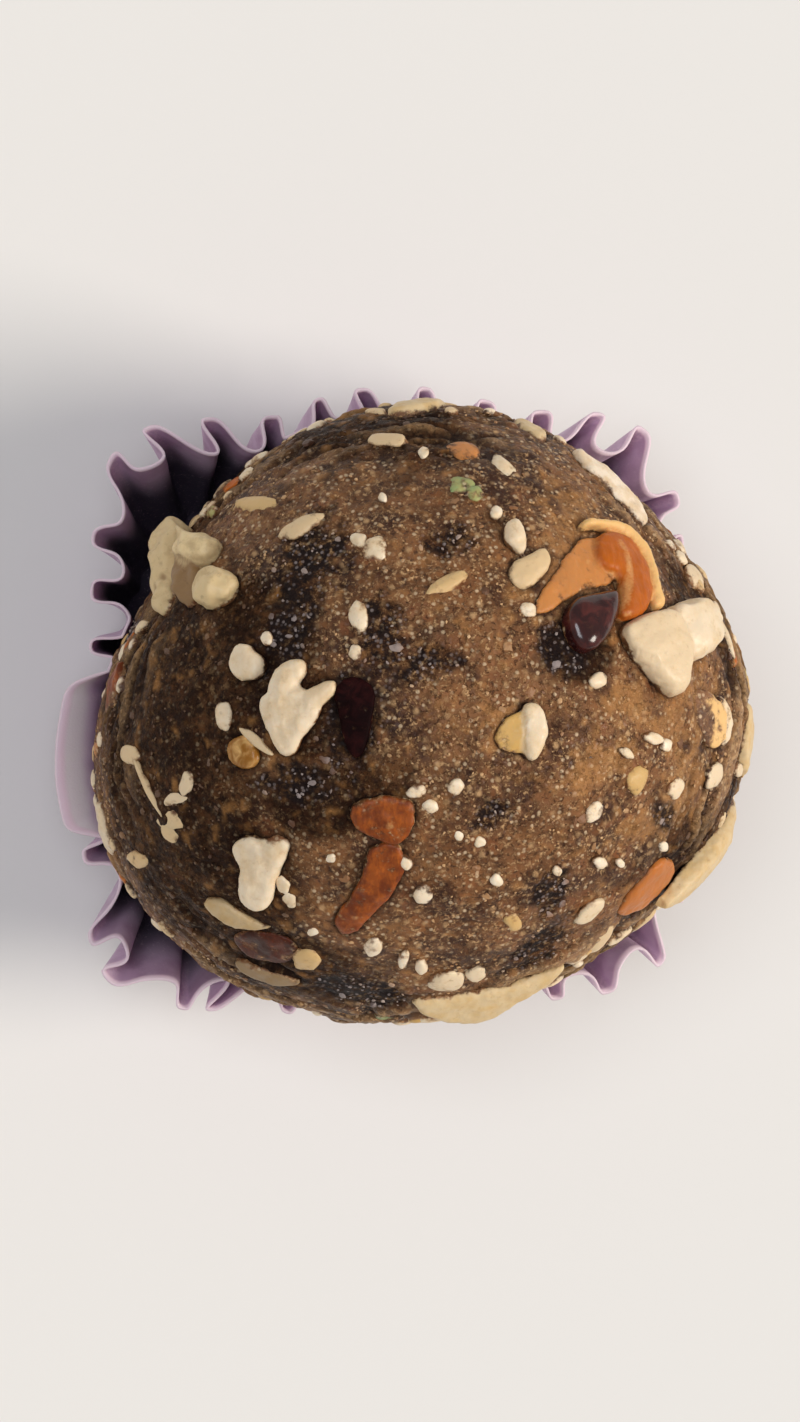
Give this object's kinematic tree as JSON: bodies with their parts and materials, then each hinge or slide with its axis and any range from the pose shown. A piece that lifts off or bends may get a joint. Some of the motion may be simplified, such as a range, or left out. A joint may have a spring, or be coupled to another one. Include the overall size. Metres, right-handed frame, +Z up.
{
  "type": "ladoo",
  "caption": "Hand-rolled dry-fruit ladoo: a dark date dough ball set with cashew, almond, walnut and raisin bits, sitting in a lilac pleated paper case.",
  "frame": {"origin": "middle of the flat underside of the paper case", "axes": "+Z up, out of the paper case's mouth; +X along the ball's longer side, which is the right of the picture; +Y the top of the picture"},
  "size_m": [0.043, 0.04, 0.0396],
  "materials": {
    "dough": "moist, grainy",
    "cashew": "smooth, slightly waxy",
    "walnut": "wrinkled, dull",
    "almond_skin": "fibrous skin, slight sheen",
    "almond_flake": "smooth cut face",
    "raisin": "sticky gloss",
    "paper": "thin glassine, matte"
  },
  "bodies": {
    "root": {"ladoo": "dough", "paper_case": "paper", "walnut_chunk": "walnut", "walnut_right": "walnut", "walnut_back": "walnut", "cashew_lobed": "cashew", "cashew_round": "cashew", "cashew_double": "cashew", "cashew_large": "cashew", "cashew_crown": "cashew", "cashew_forked": "cashew", "cashew_golden": "cashew", "cashew_back": "cashew", "cashew_front": "cashew", "cashew_left": "cashew", "raisin_crown": "raisin", "raisin_berry": "raisin", "raisin_golden": "raisin", "raisin_right": "raisin", "raisin_front": "raisin", "flake_shoulder": "almond_flake", "flake_right": "almond_flake", "flake_front": "almond_flake", "flake_crescent": "almond_flake", "flake_limb": "almond_flake", "flake_top": "almond_flake", "flake_ridge": "almond_flake", "flake_low": "almond_flake", "flake_back": "almond_flake", "almond_gold": "almond_skin", "almond_upper": "almond_skin", "almond_lower": "almond_skin", "almond_side": "almond_skin", "almond_skin": "almond_skin", "almond_back": "almond_skin", "almond_left": "almond_skin"}
  },
  "joints": []
}
